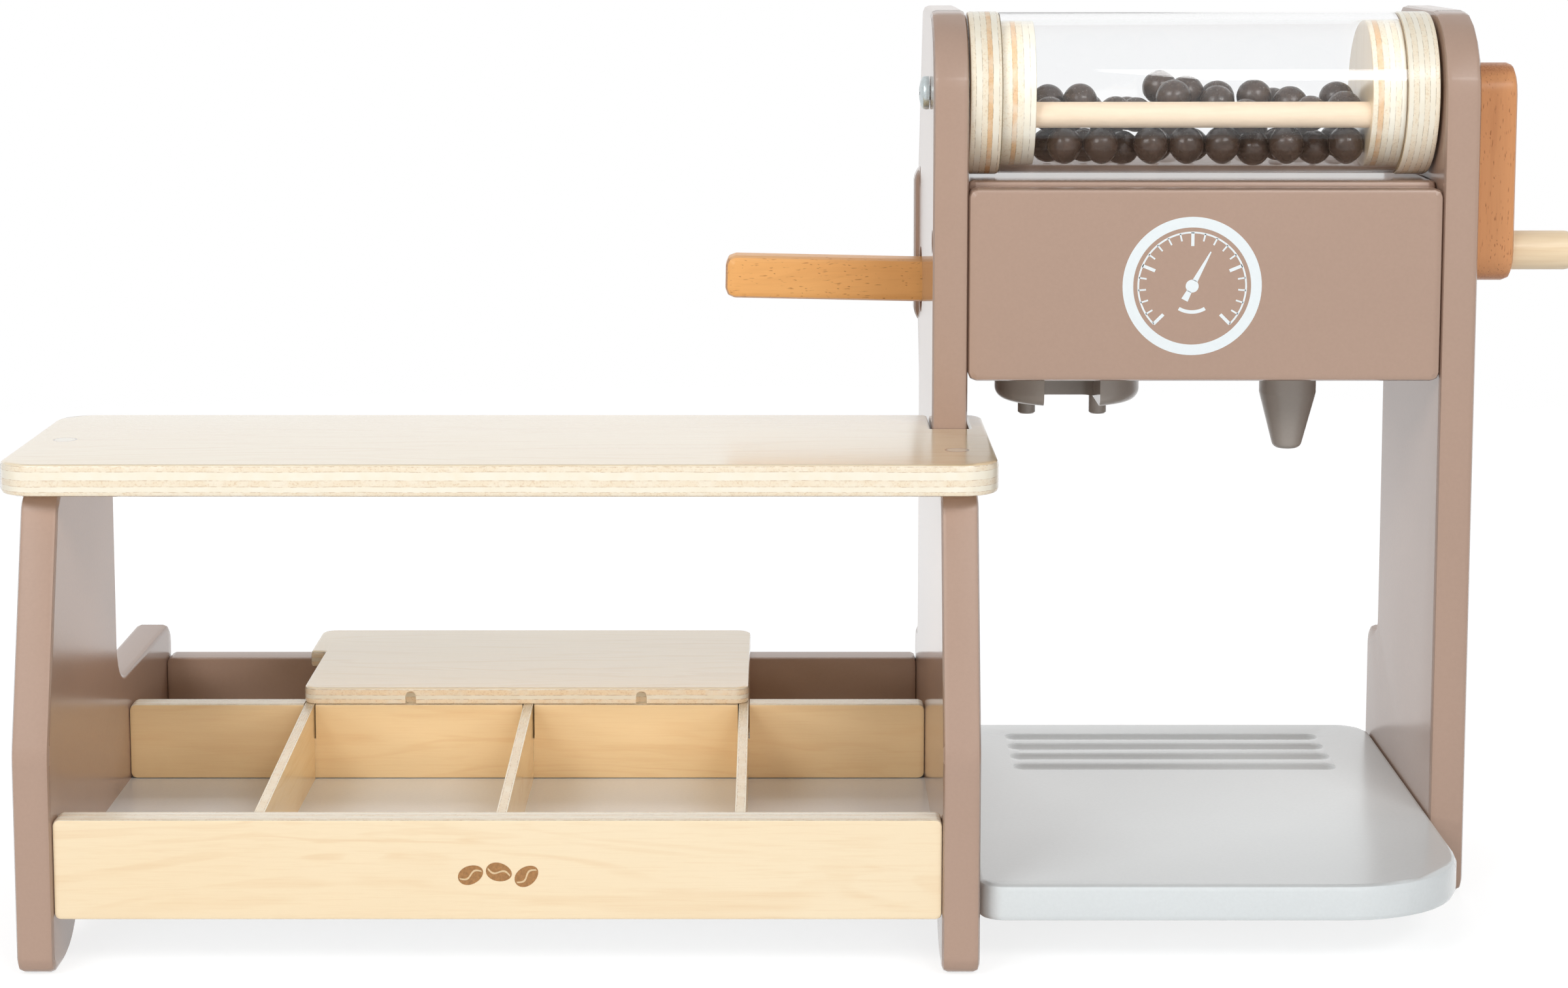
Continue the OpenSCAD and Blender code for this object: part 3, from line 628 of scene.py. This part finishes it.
def burnt_beans(dark, pale):
    """Three coffee beans burnt into the tray's front strip, each with its pale crease."""
    low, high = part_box("tray_front_strip")
    middle = (low.x + high.x) / 2
    height = (low.z + high.z) / 2 - BEAN_MARK_DROP

    def turned(mark, points):
        """Points of a mark [(along, across), ...] in mm, where the mark lies on the strip."""
        x, z, angle = mark
        c, s = direction(angle)
        return [
            (middle + (x + u * c - v * s) * MM, height + (z + u * s + v * c) * MM)
            for u, v in points
        ]

    def body(shape):
        angles = [2 * math.pi * i / BEAN_MARK_POINTS for i in range(BEAN_MARK_POINTS)]
        outline = [
            (
                BEAN_MARK_LENGTH / 2 * math.cos(a),
                BEAN_MARK_WIDTH / 2 * math.sin(a) * (1 - BLUNT_END * math.cos(a)),
            )
            for a in angles
        ]
        for mark in BEAN_MARKS:
            plate(shape, turned(mark, outline), low.y, PRINT_RISE)

    def crease(shape):
        step = 2 * CREASE_REACH / CREASE_STEPS
        reach = [-CREASE_REACH + step * i for i in range(CREASE_STEPS + 1)]
        spine = [(t, CREASE_SWAY * math.sin(0.95 * t)) for t in reach]
        half = CREASE_HALF_WIDTH
        for mark in BEAN_MARKS:
            for (t0, w0), (t1, w1) in zip(spine, spine[1:]):
                quad = [(t0, w0 - half), (t1, w1 - half), (t1, w1 + half), (t0, w0 + half)]
                plate(shape, turned(mark, quad), low.y, CREASE_RISE)

    mesh_piece("burnt_beans", body, dark, "stand")
    mesh_piece("burnt_bean_creases", crease, pale, "stand")


# ---------------------------------------------------------------- floor, light and camera


def unscattered(tree, path):
    """1 for rays that no matt surface has scattered yet, else 0."""
    return maths(tree, "LESS_THAN", path["Diffuse Depth"], 0.5)


def seen_plainly(tree):
    """1 for camera, mirror and glass rays that no matt surface has scattered yet, else 0."""
    path = tree.nodes.new("ShaderNodeLightPath").outputs
    seen = maths(tree, "MAXIMUM", path["Is Camera Ray"], path["Is Glossy Ray"])
    seen = maths(tree, "MAXIMUM", seen, path["Is Transmission Ray"])
    return maths(tree, "MULTIPLY", seen, unscattered(tree, path))


def lit_once(lamp):
    """Leaves out the lamp where scattered light would reach it through the clear tube, because
    the tube's open shadow has already let that light in."""
    lamp.use_nodes = True
    tree = lamp.node_tree
    path = tree.nodes.new("ShaderNodeLightPath").outputs
    direct = maths(tree, "SUBTRACT", 1.0, path["Is Transmission Ray"])
    strength = maths(tree, "MAXIMUM", unscattered(tree, path), direct)
    tree.links.new(strength, tree.nodes["Emission"].inputs["Strength"])


FLOOR_HALF = 1.3
FLOOR_DROP = 0.2 * MM
FLOOR_FADE = (0.55, 1.2)
FLOOR_GLOW = 0.80


def floor():
    """White floor that keeps a faint shadow and fades out into the surroundings."""
    mesh = bpy.data.meshes.new("floor")
    corners = [(-1, -1), (1, -1), (1, 1), (-1, 1)]
    mesh.from_pydata(
        [(FLOOR_HALF * x, FLOOR_HALF * y, -FLOOR_DROP) for x, y in corners], [], [(0, 1, 2, 3)]
    )
    holder = bpy.data.objects.new("floor", mesh)
    bpy.context.scene.collection.objects.link(holder)
    look = Look("floor_white", Roughness=0.9, Specular_IOR_Level=0.0, Emission_Color=(1, 1, 1, 1))
    seen = seen_plainly(look.tree)
    look.set("Emission Strength", look.math("MULTIPLY", seen, FLOOR_GLOW))
    away = look.vector("LENGTH", look.place)
    look.set("Alpha", look.ramp(away, *FLOOR_FADE, 1.0, 0.0))
    mesh.materials.append(look.finish(look.mix(seen, (0.86, 0.86, 0.86), (0.40, 0.40, 0.40))))


WORLD_FILL = 0.14


def surroundings():
    """White all round where it is seen plainly, and a weak even light on the object."""
    world = bpy.data.worlds.new("studio")
    bpy.context.scene.world = world
    world.use_nodes = True
    tree = world.node_tree
    background = tree.nodes["Background"].inputs
    background["Color"].default_value = (1, 1, 1, 1)
    level = ramped(tree, seen_plainly(tree), 0.0, 1.0, WORLD_FILL, 1.0)
    tree.links.new(level, background["Strength"])


LAMP_TARGET = Vector((0, 0, 0.14))
LAMP_DISTANCE = 1.7
# Name, azimuth and elevation in degrees, watts, width and height in metres.
LAMPS = [
    ("key_left", -37, 30, 8.5, 0.80, 0.50),
    ("key_right", 27, 33, 8.0, 0.78, 0.40),
    ("fill_left", -30, 4, 3.6, 0.60, 0.20),
    ("fill_right", 18, 4, 4.4, 0.60, 0.20),
    ("top", 0, 72, 1.2, 0.80, 0.40),
    ("back", 178, 36, 12.0, 1.20, 0.60),
]


def lamps():
    """Softboxes round the object, of which only the two keys show as glints."""
    for name, azimuth, elevation, power, width, height in LAMPS:
        front, right = direction(azimuth)
        level, up = direction(elevation)
        away = Vector((right * level, -front * level, up))
        lamp = bpy.data.lights.new(name, "AREA")
        lamp.energy = power
        lamp.shape = "RECTANGLE"
        lamp.size = width
        lamp.size_y = height
        holder = bpy.data.objects.new(name, lamp)
        holder.location = LAMP_TARGET + away * LAMP_DISTANCE
        holder.rotation_euler = (-away).to_track_quat("-Z", "Y").to_euler()
        holder.visible_glossy = name.startswith("key")
        holder.visible_transmission = name.startswith("key")
        lit_once(lamp)
        bpy.context.scene.collection.objects.link(holder)


VIEW_PLACE = (-0.01425, -1.12775, 0.339)
VIEW_DOWN = math.radians(6.93)
LENS, SENSOR = 75.6, 36.0
LENS_SHIFT = (0.0052, -0.12)


def camera():
    """Front view from 1.13 m away and 0.34 m up, tilted a little down."""
    view = bpy.data.cameras.new("front_view")
    view.sensor_width = SENSOR
    view.lens = LENS
    view.shift_x, view.shift_y = LENS_SHIFT
    holder = bpy.data.objects.new("front_view", view)
    holder.location = VIEW_PLACE
    holder.rotation_euler = (math.pi / 2 - VIEW_DOWN, 0, 0)
    bpy.context.scene.collection.objects.link(holder)
    bpy.context.scene.camera = holder
    bpy.context.scene.view_settings.view_transform = "Standard"


# ---------------------------------------------------------------- dressing

apply(
    painted_board("taupe_paint", (0.456, 0.312, 0.240)),
    "left_side_panel", "middle_side_panel", "right_side_panel", "back_rail",
    "body_front_plate", "body_top_board", "body_bottom_board", "body_rear_plate",
)
apply(painted_board("pale_grey_paint", (0.74, 0.78, 0.79), 0.7), "base_plate")
apply(painted_board("tray_grey_paint", (0.82, 0.85, 0.88)), "tray_floor")
apply(
    painted_board("dark_grey_paint", (0.360, 0.322, 0.288)),
    "brew_head", "milk_nozzle", "spout_dowels",
)

ORANGE_TINT = (1.03, 0.94, 0.79)
NO_TINT = (1, 1, 1)
# Painted light: a lighter, warmer copy of the birch face colours for the countertop and the lid,
# so that their tops look more brightly lit.
PAINTED_TOP_LIGHT_TINT = (1.04, 1.03, 0.97)
# Layers in mm: from the left on the drum, from the front on the strip and the long divider,
# from below on the countertop and the lid.
PALE, CREAM = DISC_LONG_PAINTED_LIGHT, DISC_END_PAINTED_LIGHT
RIGHT_DISC = [(1.8, PALE), (1.9, CREAM), (1.9, PALE), (1.8, CREAM), (1.9, PALE), (1.8, CREAM)]
LEFT_DISC = [(1.9, CREAM), (2.1, PALE), (2.0, CREAM), (1.7, TAN), (2.1, PALE), (1.2, CREAM)]
LEFT_PLUG = [(3.3, CREAM), (1.7, TAN), (2.2, CREAM), (2.2, PALE), (2.1, PALE)]
RIGHT_PLUG = [(1.8, CREAM), (1.9, TAN), (2.1, CREAM), (1.9, PALE), (2.0, CREAM), (1.8, PALE)]
COUNTER = [(1.6, END), (1.8, LONG), (2.0, END), (2.8, LONG), (1.6, END), (0.6, LONG)]
STRIP = [(0.6, LONG), (2.0, END), (2.2, LONG), (2.0, END), (2.2, LONG), (1.5, END)]
DIVIDER = [(0.6, LONG), (1.9, END), (2.0, LONG), (2.0, END), (1.9, LONG), (0.6, END)]
THIN = [(0.5, LONG), (2.4, END), (0.5, LONG)]
LID = [(1.9, LID_END_PAINTED_LIGHT), (1.5, LONG), (1.9, LID_END_PAINTED_LIGHT), (0.7, LONG)]
# Node, axis of its thickness, axis of its grain, layers, glue, tint, coat, seed.
for board in [
    ("countertop", Z, X, COUNTER, GLUE_SOFT, PAINTED_TOP_LIGHT_TINT, 1.0, 0.3),
    ("tray_front_strip", Y, X, STRIP, GLUE_SOFT, NO_TINT, 0.3, 1.9),
    ("tray_long_divider", Y, X, DIVIDER, GLUE_SOFT, ORANGE_TINT, 0.0, 4.1),
    ("cross_divider_left", X, Y, THIN, GLUE_SOFT, ORANGE_TINT, 0.0, 2.2),
    ("cross_divider_middle", X, Y, THIN, GLUE_SOFT, ORANGE_TINT, 0.0, 5.6),
    ("cross_divider_right", X, Y, THIN, GLUE_SOFT, ORANGE_TINT, 0.0, 7.7),
    ("storage_lid", Z, X, LID, GLUE_SOFT, PAINTED_TOP_LIGHT_TINT, 0.9, 3.7),
    ("drum_left_disc", X, Z, LEFT_DISC, GLUE_DARK, NO_TINT, 0.3, 6.3),
    ("drum_left_plug", X, Z, LEFT_PLUG, GLUE_DARK, NO_TINT, 0.3, 8.8),
    ("drum_right_disc", X, Z, RIGHT_DISC, GLUE_DARK, NO_TINT, 0.3, 9.4),
    ("drum_right_plug", X, Z, RIGHT_PLUG, GLUE_DARK, NO_TINT, 0.3, 12.5),
]:
    apply(plywood(*board), board[0])

DOWEL = ((0.94, 0.77, 0.58), (0.92, 0.72, 0.51), (0.78, 0.54, 0.34))
KNOB = ((0.985, 0.85, 0.62), (0.97, 0.78, 0.53), (0.76, 0.52, 0.29))
apply(dowel_wood("birch_rod", X, *DOWEL, roughness=0.6), "drum_tie_rod", "crank_axle")
apply(dowel_wood("birch_knob", X, *KNOB, 3.3, 1.2), "crank_knob")
apply(dowel_wood("birch_pivot", Y, *DOWEL, 2.1), "lever_pivot")
apply(
    plug_ends("birch_plug", "countertop_dowels", (0.98, 0.88, 0.68), (0.30, 0.18, 0.09)),
    "countertop_dowels",
)
apply(beech("beech_lever", X, (0.98, 0.56, 0.215), (0.94, 0.47, 0.16), 0.7), "lever")
apply(beech("beech_crank", Z, (0.84, 0.41, 0.185), (0.76, 0.34, 0.145), 5.2), "crank_arm")
apply(clear_acrylic(), "drum_tube")
apply(metal("zinc", (0.58, 0.64, 0.65), 0.30), "axle_screw", "axle_washer")
apply(
    metal("black_screws", (0.10, 0.095, 0.09), 0.42),
    "left_panel_screws", "middle_panel_screws", "right_panel_screws",
)
bean_heap(bean_stain())
gauge_print(ink("white_print", (0.88, 0.94, 0.96), 0.05))
burnt_beans(
    ink("burnt_brown", (0.46, 0.23, 0.085), 0.8),
    ink("burnt_crease", (0.80, 0.60, 0.36), 0.3),
)
floor()
surroundings()
lamps()
camera()
